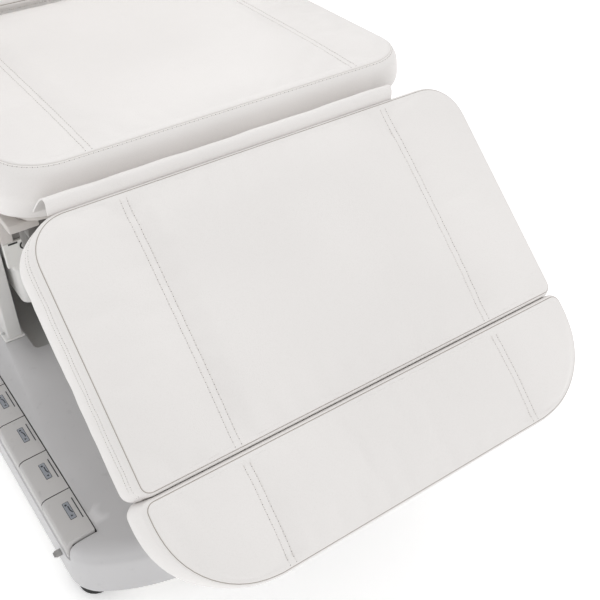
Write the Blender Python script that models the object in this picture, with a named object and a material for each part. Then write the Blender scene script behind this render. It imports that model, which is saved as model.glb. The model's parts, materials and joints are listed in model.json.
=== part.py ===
"""Facial treatment bed: lifting column, folding back and leg rest, sliding footrest, foot pedals.

Run with: blender --background --python part.py
Metres, +Z up, +X across the bed, +Y towards the head end.
"""

import math

import bmesh
import bpy
from mathutils import Matrix, Vector

MIDDLE_Y = 0.3102            # the whole bed is moved by this, so that its box is centred on Y = 0
GAP = 0.0005                 # clearance between pieces that touch

SEAT_Z = 0.75                # top seam of the seat cushion above the floor
HALF_WIDTH = 0.33            # half the cushion width
LEG_TILT = math.radians(42.13)
LEG_TOP = Vector((0.0, -0.0575, 0.7191))
LEG_HINGE = Vector((0.0, 0.0036, 0.68))
BACK_TILT = math.radians(58.0)
BACK_HINGE = Vector((0.0, 0.554, 0.705))
ARM_PIVOT = Vector((0.0, 0.42, 0.915))

LEG_HINGE_LOCAL = (-0.019, -0.07)
LEVER_DIRECTION = (0.5, -0.866)
LEVER_SIDE = (0.01256, 0.00725)
BACK_SLOT_DIRECTION = (-0.5736, -0.8192)
KNUCKLE_RADIUS = 0.0095
PIN_RADIUS = 0.005
PLATE_INNER = 0.2555         # hinge plates of the leg rest and the back, half spacing
PLATE_OUTER = 0.2655
ROD_X = 0.2605
ROD_Z = 0.58

PEDAL_PITCH = 0.1017
PEDAL_START = -0.042
PEDALS_PER_SIDE = 6

COLOURS = {
    "vinyl": ((0.86, 0.85, 0.83), 0.45, 0.0),
    "shell": ((0.62, 0.62, 0.63), 0.35, 0.0),
    "pedal": ((0.60, 0.60, 0.60), 0.4, 0.0),
    "white_paint": ((0.80, 0.80, 0.79), 0.35, 0.0),
    "grey_plastic": ((0.66, 0.67, 0.67), 0.4, 0.0),
    "board": ((0.50, 0.49, 0.47), 0.6, 0.0),
    "steel": ((0.60, 0.60, 0.62), 0.3, 1.0),
    "black_plastic": ((0.03, 0.03, 0.03), 0.5, 0.0),
    "rubber": ((0.02, 0.02, 0.02), 0.8, 0.0),
}


def clear_scene():
    """Remove every object, mesh and material that the file opened with."""
    for item in list(bpy.data.objects):
        bpy.data.objects.remove(item, do_unlink=True)
    for mesh in list(bpy.data.meshes):
        bpy.data.meshes.remove(mesh)
    for material in list(bpy.data.materials):
        bpy.data.materials.remove(material)


def make_material(name, kind):
    """Give one node its own Principled material."""
    colour, roughness, metallic = COLOURS[kind]
    material = bpy.data.materials.new(name)
    material.use_nodes = True
    shader = material.node_tree.nodes["Principled BSDF"]
    shader.inputs["Base Color"].default_value = (*colour, 1.0)
    shader.inputs["Roughness"].default_value = roughness
    shader.inputs["Metallic"].default_value = metallic
    material.diffuse_color = (*colour, 1.0)
    return material


def new_object(name, mesh, kind, smooth=False):
    """Link a mesh as a named node with its material."""
    node = bpy.data.objects.new(name, mesh)
    bpy.context.scene.collection.objects.link(node)
    mesh.materials.append(make_material(name, kind))
    for polygon in mesh.polygons:
        polygon.use_smooth = smooth
    return node


def mesh_from_loops(name, loops):
    """Close a stack of equal point loops into one body with a cap at each end."""
    count = len(loops[0])
    bm = bmesh.new()
    rows = [[bm.verts.new(point) for point in loop] for loop in loops]
    for lower, upper in zip(rows, rows[1:]):
        for i in range(count):
            j = (i + 1) % count
            bm.faces.new((lower[i], lower[j], upper[j], upper[i]))
    bm.faces.new(list(reversed(rows[0])))
    bm.faces.new(rows[-1])
    bmesh.ops.recalc_face_normals(bm, faces=bm.faces[:])
    mesh = bpy.data.meshes.new(name)
    bm.to_mesh(mesh)
    bm.free()
    return mesh


def prism(name, polygon, low, high, axis, kind="steel"):
    """Extrude a polygon along x, y or z between two heights."""
    def place(point, height):
        if axis == "x":
            return (height, point[0], point[1])
        if axis == "y":
            return (point[0], height, point[1])
        return (point[0], point[1], height)

    loops = [[place(point, height) for point in polygon] for height in (low, high)]
    return new_object(name, mesh_from_loops(name, loops), kind)


def box(name, low, high, kind="steel"):
    """A plain block, used for plates and bars and as a cutter."""
    polygon = [(low[0], low[1]), (high[0], low[1]), (high[0], high[1]), (low[0], high[1])]
    return prism(name, polygon, low[2], high[2], "z", kind)


def circle(centre, radius, count=20, start=0.0):
    """Points round a circle, anticlockwise."""
    step = 2.0 * math.pi / count
    return [(centre[0] + radius * math.cos(start + i * step),
             centre[1] + radius * math.sin(start + i * step)) for i in range(count)]


def arc(centre, radius, first, last, steps):
    """Points on an arc between two angles in degrees."""
    points = []
    for i in range(steps + 1):
        angle = math.radians(first + (last - first) * i / steps)
        points.append((centre[0] + radius * math.cos(angle), centre[1] + radius * math.sin(angle)))
    return points


def capsule(start, end, radius, steps=6):
    """A slot outline: two half circles joined by straight sides."""
    angle = math.degrees(math.atan2(end[1] - start[1], end[0] - start[0]))
    return (arc(end, radius, angle - 90.0, angle + 90.0, steps)
            + arc(start, radius, angle + 90.0, angle + 270.0, steps))


def rounded(x0, x1, y0, y1, radii, steps=6):
    """Rectangle with its own radius at each corner, from the low corner anticlockwise."""
    corners = [(x0, y0, 180.0), (x1, y0, 270.0), (x1, y1, 0.0), (x0, y1, 90.0)]
    points = []
    for (x, y, first), radius in zip(corners, radii):
        centre = (x + radius if x == x0 else x - radius, y + radius if y == y0 else y - radius)
        points.extend(arc(centre, radius, first, first + 90.0, steps))
    return points


def boolean(node, other, operation):
    """Cut or join with an exact boolean, apply it, and drop the second object."""
    modifier = node.modifiers.new(operation, "BOOLEAN")
    modifier.object = other
    modifier.operation = operation
    modifier.solver = "EXACT"
    bpy.context.view_layer.update()
    depsgraph = bpy.context.evaluated_depsgraph_get()
    result = bpy.data.meshes.new_from_object(node.evaluated_get(depsgraph))
    node.modifiers.clear()
    old = node.data
    node.data = result
    result.name = node.name
    material = old.materials[0]
    result.materials.clear()
    result.materials.append(material)
    for polygon in result.polygons:
        polygon.material_index = 0
    bpy.data.meshes.remove(old)
    other_mesh = other.data
    other_material = other_mesh.materials[0]
    bpy.data.objects.remove(other, do_unlink=True)
    bpy.data.meshes.remove(other_mesh)
    bpy.data.materials.remove(other_material)
    return node


def cut(node, other):
    """Take one solid out of another."""
    return boolean(node, other, "DIFFERENCE")


def join(node, other):
    """Weld one solid to another."""
    return boolean(node, other, "UNION")


def shape(node, matrix):
    """Move the mesh itself."""
    node.data.transform(matrix)
    node.data.update()
    return node


def set_origin(node, point):
    """Put the object's origin on its joint."""
    offset = Vector(point)
    node.data.transform(Matrix.Translation(-offset))
    node.location = offset
    return node


def mirrored(node, name, kind):
    """A second node that is the mirror image across the bed."""
    mesh = node.data.copy()
    mesh.name = name
    mesh.materials.clear()
    mesh.transform(Matrix.Scale(-1.0, 4, Vector((1.0, 0.0, 0.0))))
    mesh.flip_normals()
    smooth = node.data.polygons[0].use_smooth
    copy = new_object(name, mesh, kind, smooth)
    copy.location = (-node.location.x, node.location.y, node.location.z)
    return copy


def leg_matrix():
    """From the flat leg rest, face at z = 0 and top edge at y = 0, to its place."""
    return Matrix.Translation(LEG_TOP) @ Matrix.Rotation(LEG_TILT, 4, "X")


def back_matrix():
    """From the flat back, hinge at the origin, to its raised place."""
    return Matrix.Translation(BACK_HINGE) @ Matrix.Rotation(BACK_TILT, 4, "X")


def cushion(name, low, high, radii, edge, front_cut=0.0, rear_cut=0.0, steps=6):
    """A pad with rounded plan corners, rolled top edges and an optional bevel underneath."""
    x0, y0, z0 = low
    x1, y1, z1 = high
    height = z1 - z0
    layers = [(z0, 0.0, front_cut, rear_cut)]
    if front_cut or rear_cut:
        bevel = max(front_cut, rear_cut)
        layers.append((z0 + min(bevel, height - edge - 0.004), 0.0, 0.0, 0.0))
    layers.append((z1 - edge, 0.0, 0.0, 0.0))
    layers.append((z1 - 0.3 * edge, 0.3 * edge, 0.0, 0.0))
    layers.append((z1, edge, 0.0, 0.0))
    loops = []
    for z, inset, front, rear in layers:
        loop_radii = [max(radius - inset, 0.002) for radius in radii]
        outline = rounded(x0 + inset, x1 - inset, y0 + inset + front, y1 - inset - rear,
                          loop_radii, steps)
        loops.append([(x, y, z) for x, y in outline])
    return new_object(name, mesh_from_loops(name, loops), "vinyl", True)


# ---------------------------------------------------------------- base

# Levels of the moulded base: z, half width, front, rear, front corner radius, rear corner radius
OUTER_LEVELS = [
    (0.0300, 0.385, -0.136, 1.000, 0.070, 0.150),
    (0.0950, 0.385, -0.136, 1.000, 0.070, 0.150),
    (0.1080, 0.384, -0.130, 0.994, 0.064, 0.146),
    (0.1180, 0.381, -0.122, 0.986, 0.054, 0.140),
    (0.1250, 0.374, -0.110, 0.974, 0.045, 0.130),
    (0.1290, 0.360, -0.082, 0.958, 0.050, 0.115),
    (0.1340, 0.336, -0.022, 0.938, 0.090, 0.100),
    (0.1430, 0.312, 0.070, 0.905, 0.180, 0.085),
    (0.1580, 0.295, 0.200, 0.800, 0.240, 0.060),
]
INNER_LEVELS = [
    (0.0200, 0.380, -0.131, 0.995, 0.065, 0.145),
    (0.0855, 0.380, -0.131, 0.995, 0.065, 0.145),
    (0.0860, 0.325, -0.112, 0.980, 0.060, 0.125),
    (0.1080, 0.325, -0.106, 0.975, 0.055, 0.120),
    (0.1190, 0.318, -0.086, 0.955, 0.045, 0.105),
    (0.1270, 0.300, -0.014, 0.930, 0.080, 0.090),
    (0.1370, 0.290, 0.082, 0.885, 0.170, 0.075),
    (0.1520, 0.280, 0.225, 0.780, 0.210, 0.050),
]
BOW_RADIUS = 0.33            # the front of the base is bowed, and meets its corners at this turn
BOW_TURN = 33.0
DECK_OPENING = (0.2525, 0.395, 0.690)


def base_outline(half, front, rear, front_radius, rear_radius):
    """Plan of the base: a bowed front that turns into tight corners, and round rear corners."""
    turn = math.radians(BOW_TURN)
    reach = BOW_RADIUS - front_radius
    bow_x = half - front_radius - reach * math.sin(turn)
    bow_y = front + BOW_RADIUS
    corner_x = half - front_radius
    corner_y = bow_y - reach * math.cos(turn)
    points = arc((-corner_x, corner_y), front_radius, 180.0, 270.0 - BOW_TURN, 4)
    points += arc((-bow_x, bow_y), BOW_RADIUS, 270.0 - BOW_TURN, 270.0, 3)[1:]
    points += arc((bow_x, bow_y), BOW_RADIUS, 270.0, 270.0 + BOW_TURN, 3)
    points += arc((corner_x, corner_y), front_radius, 270.0 + BOW_TURN, 360.0, 4)[1:]
    points += arc((half - rear_radius, rear - rear_radius), rear_radius, 0.0, 90.0, 7)
    points += arc((rear_radius - half, rear - rear_radius), rear_radius, 90.0, 180.0, 7)
    return points


def level_loops(levels):
    """Turn the rows of a level table into plan outlines."""
    return [[(x, y, level[0]) for x, y in base_outline(*level[1:])] for level in levels]


def build_base_cover():
    """Moulded shell, open underneath, with a pedal recess along each side."""
    cover = new_object("base_cover", mesh_from_loops("base_cover", level_loops(OUTER_LEVELS)), "shell")
    inside = new_object("inside", mesh_from_loops("inside", level_loops(INNER_LEVELS)), "shell")
    cut(cover, inside)
    half, front, rear = DECK_OPENING
    cut(cover, box("opening", (-half, front, 0.10), (half, rear, 0.20)))
    recess_end = PEDAL_START + PEDALS_PER_SIDE * PEDAL_PITCH + 0.003
    for side in (-1.0, 1.0):
        x0, x1 = sorted((side * 0.331, side * 0.40))
        cut(cover, box("recess", (x0, PEDAL_START - 0.003, 0.0915), (x1, recess_end, 0.20)))
    return cover


def build_base():
    """Everything that stands still on the floor."""
    build_base_cover()
    outline = rounded(-0.365, 0.365, -0.115, 0.975, (0.125,) * 4, 5)
    prism("base_chassis", outline, 0.0315, 0.0365, "z", "white_paint")
    for name, x, y in (("foot_front_left", -0.346, -0.034), ("foot_front_right", 0.346, -0.034),
                       ("foot_rear_left", -0.30, 0.88), ("foot_rear_right", 0.30, 0.88)):
        prism(name, circle((x, y), 0.030, 24), 0.0, 0.031, "z", "rubber")
    prism("column_outer", rounded(-0.09, 0.09, 0.47, 0.61, (0.008,) * 4, 2), 0.037, 0.405, "z",
          "white_paint")
    cut(bpy.data.objects["column_outer"],
        box("bore", (-0.082, 0.478, 0.045), (0.082, 0.602, 0.45)))
    walls = [(-0.285, 0.45), (-0.258, 0.45), (-0.258, 0.692), (0.258, 0.692), (0.258, 0.45),
             (0.285, 0.45), (0.285, 0.72), (-0.285, 0.72)]
    cover = prism("column_cover", walls, 0.1585, 0.415, "z", "grey_plastic")
    flange = [(-0.294, 0.444), (-0.254, 0.444), (-0.254, 0.696), (0.254, 0.696), (0.254, 0.444),
              (0.294, 0.444), (0.294, 0.732), (-0.294, 0.732)]
    join(cover, prism("flange", flange, 0.1585, 0.1625, "z"))
    box("power_inlet", (0.12, 1.0005, 0.048), (0.16, 1.012, 0.078), "black_plastic")
    knob = prism("side_knob", circle((-0.006, 0.075), 0.006, 16), -0.395, -0.3855, "x", "grey_plastic")
    join(knob, prism("cap", circle((-0.006, 0.075), 0.0045, 16), -0.398, -0.394, "x"))


def build_pedals():
    """Spring-returned foot pedals along both sides, each up or down for one motor."""
    functions = ("leg_down", "leg_up", "back_down", "back_up", "lift_down", "lift_up")
    for side_name, side in (("left", -1.0), ("right", 1.0)):
        for index, function in enumerate(functions):
            y0 = PEDAL_START + index * PEDAL_PITCH
            y1 = y0 + PEDAL_PITCH - 0.0012
            inner = 0.3318
            section = [(inner, 0.0975), (0.3830, 0.0975), (0.3830, 0.1240), (0.3800, 0.1290),
                       (0.3740, 0.1320), (inner, 0.1345)]
            section = [(side * x, z) for x, z in section]
            pedal = prism(f"pedal_{side_name}_{function}", section, y0, y1, "y", "pedal")
            set_origin(pedal, (side * 0.357, (y0 + y1) / 2.0, 0.1345))


# ---------------------------------------------------------------- lift and seat

def build_lift():
    """The moving half of the column and the head that carries the seat."""
    column = prism("column_inner", rounded(-0.081, 0.081, 0.479, 0.601, (0.006,) * 4, 2),
                   0.195, 0.5295, "z", "steel")
    cut(column, box("bore", (-0.073, 0.487, 0.15), (0.073, 0.593, 0.52)))
    skirt = prism("column_skirt", rounded(-0.247, 0.247, 0.41, 0.665, (0.018,) * 4, 4),
                  0.255, 0.3345, "z", "grey_plastic")
    cut(skirt, prism("bore", rounded(-0.243, 0.243, 0.414, 0.661, (0.014,) * 4, 4), 0.2, 0.4, "z"))
    profile = [(-0.252, 0.335), (0.252, 0.335), (0.252, 0.500), (0.242, 0.520), (0.242, 0.5965),
               (0.205, 0.5965), (0.205, 0.545), (-0.205, 0.545), (-0.205, 0.5965),
               (-0.242, 0.5965), (-0.242, 0.520), (-0.252, 0.500)]
    head = prism("lift_head", profile, 0.408, 0.667, "y", "white_paint")
    cut(head, box("bore", (-0.215, 0.43, 0.30), (0.215, 0.645, 0.53)))
    for node in (column, skirt, head):
        set_origin(node, (0.0, 0.54, node_bottom(node)))


def node_bottom(node):
    """Lowest height of a mesh."""
    return min(vertex.co.z for vertex in node.data.vertices)


def hinge_pin(axis_y, axis_z):
    """Shoulder pin with a flat head outside the moving plate, on the left side."""
    shaft = prism("pin", circle((axis_y, axis_z), PIN_RADIUS, 16), -0.268, -0.245, "x")
    return join(shaft, prism("pin_head", circle((axis_y, axis_z), 0.008, 16), -0.2705, -0.2662, "x"))


def build_seat():
    """Rails, board and cushion of the seat, with the hinge brackets at both ends."""
    cushion("seat_cushion", (-HALF_WIDTH, 0.0, 0.645), (HALF_WIDTH, 0.541, SEAT_Z),
            (0.085, 0.085, 0.025, 0.025), 0.016, front_cut=0.055)
    prism("seat_board", rounded(-0.300, 0.300, 0.075, 0.530, (0.04, 0.04, 0.01, 0.01), 4),
          0.632, 0.6445, "z", "board")
    rail = box("seat_rail_left", (-0.24, 0.07, 0.597), (-0.21, 0.54, 0.6315), "white_paint")
    mirrored(rail, "seat_rail_right", "white_paint")
    y, z = LEG_HINGE.y, LEG_HINGE.z
    tail = [(0.0732, 0.597), (0.16, 0.597), (0.16, 0.6315), (0.0655, 0.6315)]
    leg_polygon = tail + arc((y, z), KNUCKLE_RADIUS, 45.0, 225.0, 8)
    bracket = prism("leg_bracket_left", leg_polygon, -0.2505, -0.2405, "x", "white_paint")
    join(bracket, hinge_pin(y, z))
    mirrored(bracket, "leg_bracket_right", "white_paint")
    y, z = BACK_HINGE.y, BACK_HINGE.z
    back_polygon = [(0.45, 0.597), (0.5635, 0.597)] + arc((y, z), KNUCKLE_RADIUS, 0.0, 180.0, 8)
    back_polygon += [(0.5445, 0.6315), (0.45, 0.6315)]
    bracket = prism("back_bracket_left", back_polygon, -0.2505, -0.2405, "x", "white_paint")
    join(bracket, hinge_pin(y, z))
    mirrored(bracket, "back_bracket_right", "white_paint")


def build_actuator(name, side, y0, y1, mouth, motor_y):
    """Tube with a blind bore, and a motor can with a domed end hanging under it."""
    x = side * ROD_X
    tube = prism(name, circle((x, ROD_Z), 0.0195, 20), y0, y1, "y", "grey_plastic")
    layers = [(0.500, 0.012), (0.504, 0.0185), (0.511, 0.0225), (0.575, 0.0225)]
    loops = [[(px, py, z) for px, py in circle((x, motor_y), radius, 20)] for z, radius in layers]
    join(tube, new_object("motor", mesh_from_loops("motor", loops), "grey_plastic"))
    low, high = (y0 + 0.02, y1 + 0.01) if mouth == "rear" else (y0 - 0.01, y1 - 0.02)
    cut(tube, prism("bore", circle((x, ROD_Z), 0.0095, 20), low, high, "y"))
    return tube


def build_rod(name, side, pin_y, tail_y, direction):
    """Push rod with a fork and a cross pin that rides in the lever's slot."""
    x = side * ROD_X
    rear = pin_y + direction * 0.060
    y0, y1 = sorted((pin_y - direction * 0.012, rear))
    fork = box(name, (x - 0.013, y0, ROD_Z - 0.012), (x + 0.013, y1, ROD_Z + 0.012), "steel")
    throat = sorted((pin_y - direction * 0.03, pin_y + direction * 0.042))
    cut(fork, box("throat", (x - 0.0056, throat[0], ROD_Z - 0.02), (x + 0.0056, throat[1], ROD_Z + 0.02)))
    rod_ends = sorted((rear - direction * 0.006, tail_y))
    join(fork, prism("rod", circle((x, ROD_Z), 0.008, 16), rod_ends[0], rod_ends[1], "y"))
    join(fork, prism("pin", circle((pin_y, ROD_Z), 0.004, 16), x - 0.0145, x + 0.0145, "x"))
    set_origin(fork, (x, pin_y, ROD_Z))
    return fork


def build_drives():
    """The two linear actuators under the seat, one for the leg rest and one for the back."""
    build_actuator("leg_actuator", -1.0, 0.130, 0.340, "front", 0.165)
    build_rod("leg_rod", -1.0, 0.0265, 0.250, 1.0)
    build_actuator("back_actuator", 1.0, 0.170, 0.400, "rear", 0.205)
    build_rod("back_rod", 1.0, 0.6097, 0.334, -1.0)


# ---------------------------------------------------------------- leg rest

def lever_point(distance, side):
    """A point on the leg lever, measured from the hinge, in the flat leg rest's y and z."""
    v = LEG_HINGE_LOCAL[0] + distance * LEVER_DIRECTION[0] + side * LEVER_SIDE[0]
    w = LEG_HINGE_LOCAL[1] + distance * LEVER_DIRECTION[1] + side * LEVER_SIDE[1]
    return (v, w)


def leg_rail_polygon(with_lever):
    """Side plate of the leg rest, as distance down the rest and height."""
    points = [(0.0319, -0.108), (0.330, -0.108), (0.330, -0.128)]
    if with_lever:
        points += [lever_point(0.0755, 1.0), lever_point(0.136, 1.0), lever_point(0.146, 0.55),
                   lever_point(0.149, 0.0), lever_point(0.146, -0.55), lever_point(0.136, -1.0),
                   lever_point(0.060, -1.0)]
    else:
        points += [(0.0313, -0.128), (0.010, -0.120)]
    points += arc(LEG_HINGE_LOCAL, KNUCKLE_RADIUS, 215.0, 45.0, 9)
    return points


def build_leg_rails():
    """Both side plates; the left one carries the slotted lever."""
    rails = []
    for name, side, with_lever in (("leg_rail_left", -1.0, True), ("leg_rail_right", 1.0, False)):
        low, high = sorted((side * PLATE_INNER, side * PLATE_OUTER))
        polygon = [(-v, w) for v, w in leg_rail_polygon(with_lever)]
        rail = prism(name, polygon, low, high, "x", "white_paint")
        centre = (-LEG_HINGE_LOCAL[0], LEG_HINGE_LOCAL[1])
        cut(rail, prism("hole", circle(centre, PIN_RADIUS + GAP, 16), low - 0.01, high + 0.01, "x"))
        if with_lever:
            start, end = lever_point(0.098, 0.0), lever_point(0.119, 0.0)
            slot = capsule((-start[0], start[1]), (-end[0], end[1]), 0.0068)
            cut(rail, prism("slot", slot, low - 0.01, high + 0.01, "x"))
        rails.append(rail)
    return rails


def guide_polygon(half, top, depth, notch_inner, notch_outer, notch_depth):
    """A cross plate with two notches that sliding rails run through."""
    floor = top - notch_depth
    right = [(notch_inner, top), (notch_inner, floor), (notch_outer, floor), (notch_outer, top),
             (half, top), (half, top - depth)]
    left = [(-x, z) for x, z in reversed(right)]
    return right + left


def build_leg_rest():
    """Leg rest and its sliding footrest, built flat and then folded down."""
    parts = build_leg_rails()
    parts.append(cushion("leg_cushion", (-HALF_WIDTH, -0.347, -0.095), (HALF_WIDTH, 0.0, 0.0),
                         (0.018, 0.018, 0.065, 0.065), 0.014, rear_cut=0.025))
    parts.append(prism("leg_board", rounded(-0.295, 0.295, -0.335, -0.035, (0.01, 0.01, 0.03, 0.03), 3),
                       -0.1075, -0.0955, "z", "board"))
    for name, low in (("leg_guide_upper", -0.162), ("leg_guide_lower", -0.322)):
        polygon = guide_polygon(0.2550, -0.108, 0.034, 0.0695, 0.0955, 0.0212)
        parts.append(prism(name, polygon, low, low + 0.012, "y", "white_paint"))
    flap = rounded(-0.28, 0.28, 0.0010, 0.0035, (0.0008,) * 4, 2)
    parts.append(prism("leg_flap", flap, -0.046, -0.012, "z", "vinyl"))
    rails = [(-0.095, -0.020), (-0.070, -0.020), (-0.070, -0.440), (0.070, -0.440), (0.070, -0.020),
             (0.095, -0.020), (0.095, -0.370), (0.200, -0.370), (0.200, -0.470), (-0.200, -0.470),
             (-0.200, -0.370), (-0.095, -0.370)]
    parts.append(prism("footrest_frame", rails, -0.1285, -0.1085, "z", "steel"))
    parts.append(prism("footrest_board",
                       rounded(-0.285, 0.285, -0.482, -0.366, (0.09, 0.09, 0.01, 0.01), 5),
                       -0.1080, -0.0955, "z", "board"))
    parts.append(cushion("footrest_cushion", (-0.335, -0.499, -0.095), (0.335, -0.357, 0.0),
                         (0.118, 0.118, 0.018, 0.018), 0.014, steps=8))
    for node in parts:
        shape(node, leg_matrix())
        set_origin(node, LEG_HINGE)


# ---------------------------------------------------------------- back rest

def back_rail_polygon(with_lever):
    """Side plate of the back, hinge at the origin, as distance up the back and height."""
    points = [(0.0095, -0.063), (0.570, -0.063), (0.570, -0.083), (0.040, -0.083)]
    if with_lever:
        points += [(0.030, -0.104), (-0.078, -0.146), (-0.100, -0.146), (-0.113, -0.134),
                   (-0.113, -0.116), (-0.086, -0.086), (-0.030, -0.0775), (-0.0095, -0.0700)]
    else:
        points += [(0.000, -0.078), (-0.0095, -0.070)]
    points += arc((0.0, 0.0), KNUCKLE_RADIUS, 180.0, 0.0, 9)
    return points


def build_back_rails():
    """Both side plates; the right one carries the slotted lever."""
    rails = []
    for name, side, with_lever in (("back_rail_left", -1.0, False), ("back_rail_right", 1.0, True)):
        low, high = sorted((side * PLATE_INNER, side * PLATE_OUTER))
        rail = prism(name, back_rail_polygon(with_lever), low, high, "x", "white_paint")
        hole = circle((0.0, 0.0), PIN_RADIUS + GAP, 16)
        cut(rail, prism("hole", hole, low - 0.01, high + 0.01, "x"))
        if with_lever:
            ends = [(r * BACK_SLOT_DIRECTION[0], r * BACK_SLOT_DIRECTION[1]) for r in (0.122, 0.156)]
            slot = capsule(ends[0], ends[1], 0.0082)
            cut(rail, prism("slot", slot, low - 0.01, high + 0.01, "x"))
        rails.append(rail)
    return rails


def build_back_rest():
    """Back and headrest, built flat with the hinge at the origin and then raised."""
    parts = build_back_rails()
    parts.append(cushion("back_cushion", (-HALF_WIDTH, 0.033, -0.050), (HALF_WIDTH, 0.585, 0.045),
                         (0.025, 0.025, 0.070, 0.070), 0.016))
    parts.append(prism("back_board", rounded(-0.295, 0.295, 0.055, 0.570, (0.02, 0.02, 0.05, 0.05), 4),
                       -0.0625, -0.0505, "z", "board"))
    guide = guide_polygon(0.2550, -0.063, 0.034, 0.0595, 0.0855, 0.0212)
    parts.append(prism("back_guide", guide, 0.500, 0.512, "y", "white_paint"))
    frame = [(-0.085, 0.380), (-0.060, 0.380), (-0.060, 0.620), (0.060, 0.620), (0.060, 0.380),
             (0.085, 0.380), (0.085, 0.780), (-0.085, 0.780)]
    parts.append(prism("headrest_frame", frame, -0.0835, -0.0635, "z", "steel"))
    parts.append(cushion("headrest_cushion", (-0.165, 0.600, -0.063), (0.165, 0.820, 0.035),
                         (0.030, 0.030, 0.090, 0.090), 0.016))
    for node in parts:
        shape(node, back_matrix())
        set_origin(node, BACK_HINGE)


def build_arms():
    """Armrests on posts from the seat rails, swinging up out of the way."""
    y, z = ARM_PIVOT.y, ARM_PIVOT.z
    section = [(-0.375, 0.600), (-0.2405, 0.600), (-0.2405, 0.6315), (-0.357, 0.6315),
               (-0.357, 0.930), (-0.375, 0.930)]
    post = prism("arm_post_left", section, 0.405, 0.435, "y", "white_paint")
    join(post, prism("pin", circle((y, z), PIN_RADIUS, 16), -0.386, -0.370, "x"))
    join(post, prism("pin_head", circle((y, z), 0.009, 16), -0.389, -0.3845, "x"))
    mirrored(post, "arm_post_right", "white_paint")
    polygon = [(0.250, 0.924), (0.395, 0.904), (0.430, 0.9035), (0.470, 0.924), (0.470, 0.9395),
               (0.250, 0.9395)]
    bar = prism("arm_bar_left", polygon, -0.3835, -0.3755, "x", "steel")
    cut(bar, prism("hole", circle((y, z), PIN_RADIUS + GAP, 16), -0.40, -0.36, "x"))
    set_origin(bar, (-0.3795, y, z))
    mirrored(bar, "arm_bar_right", "steel")
    pad = cushion("arm_pad_left", (-0.415, 0.220, 0.940), (-0.345, 0.500, 0.985),
                  (0.030, 0.030, 0.030, 0.030), 0.012)
    set_origin(pad, (-0.3795, y, z))
    mirrored(pad, "arm_pad_right", "vinyl")


def centre_bed():
    """Move every node so that the bed's box is centred on the origin."""
    for node in bpy.context.scene.collection.objects:
        node.location.y -= MIDDLE_Y


def main():
    clear_scene()
    build_base()
    build_pedals()
    build_lift()
    build_seat()
    build_drives()
    build_leg_rest()
    build_back_rest()
    build_arms()
    centre_bed()
    bpy.context.view_layer.update()


main()
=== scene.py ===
import json
import math
from contextlib import contextmanager
from dataclasses import dataclass

import bmesh
import bpy
from mathutils import Matrix, Vector
from mathutils.bvhtree import BVHTree

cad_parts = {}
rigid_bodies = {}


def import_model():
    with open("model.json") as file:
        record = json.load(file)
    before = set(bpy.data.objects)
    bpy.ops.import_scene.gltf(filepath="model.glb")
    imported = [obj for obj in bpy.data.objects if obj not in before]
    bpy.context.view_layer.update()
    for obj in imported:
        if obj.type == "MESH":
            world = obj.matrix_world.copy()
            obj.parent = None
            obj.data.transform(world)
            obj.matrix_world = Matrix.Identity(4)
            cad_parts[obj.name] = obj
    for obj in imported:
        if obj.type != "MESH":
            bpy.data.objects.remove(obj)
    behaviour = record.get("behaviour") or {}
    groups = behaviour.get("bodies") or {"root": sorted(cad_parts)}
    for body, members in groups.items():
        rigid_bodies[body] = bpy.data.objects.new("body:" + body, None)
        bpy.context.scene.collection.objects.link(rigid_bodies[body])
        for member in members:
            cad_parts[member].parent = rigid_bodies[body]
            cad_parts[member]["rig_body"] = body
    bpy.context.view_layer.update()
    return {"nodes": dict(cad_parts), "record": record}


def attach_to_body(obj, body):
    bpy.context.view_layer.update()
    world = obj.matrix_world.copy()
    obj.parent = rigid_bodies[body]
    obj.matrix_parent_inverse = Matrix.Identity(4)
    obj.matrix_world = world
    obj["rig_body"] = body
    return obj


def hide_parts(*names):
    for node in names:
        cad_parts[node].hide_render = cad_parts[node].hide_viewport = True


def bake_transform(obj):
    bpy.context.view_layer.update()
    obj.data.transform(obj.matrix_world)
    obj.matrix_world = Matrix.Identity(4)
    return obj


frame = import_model()
RECORD = frame["record"]
NODES = frame["nodes"]
BODY_OF = {node: body for body, nodes in RECORD["behaviour"]["bodies"].items() for node in nodes}
SLOT_OF = {part["node"]: part["material_slot"] for part in RECORD["subparts"]}

# The frame's own measures, in metres. Lengths along the bed run from the front of the seat.
MIDDLE_Y = 0.3102
SEAT_Z = 0.75
BED = Matrix.Translation((0.0, -MIDDLE_Y, 0.0))
SEAT = BED @ Matrix.Translation((0.0, 0.0, SEAT_Z))
LEG = BED @ Matrix.Translation((0.0, -0.0575, 0.7191)) @ Matrix.Rotation(math.radians(42.13), 4, "X")
BACK = BED @ Matrix.Translation((0.0, 0.554, 0.705)) @ Matrix.Rotation(math.radians(58.0), 4, "X")


# ---- materials

def tint(red, green, blue):
    """A colour from its 0 to 255 screen values."""
    values = [channel / 255.0 for channel in (red, green, blue)]
    return tuple(v / 12.92 if v <= 0.04045 else ((v + 0.055) / 1.055) ** 2.4 for v in values) + (1.0,)


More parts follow.
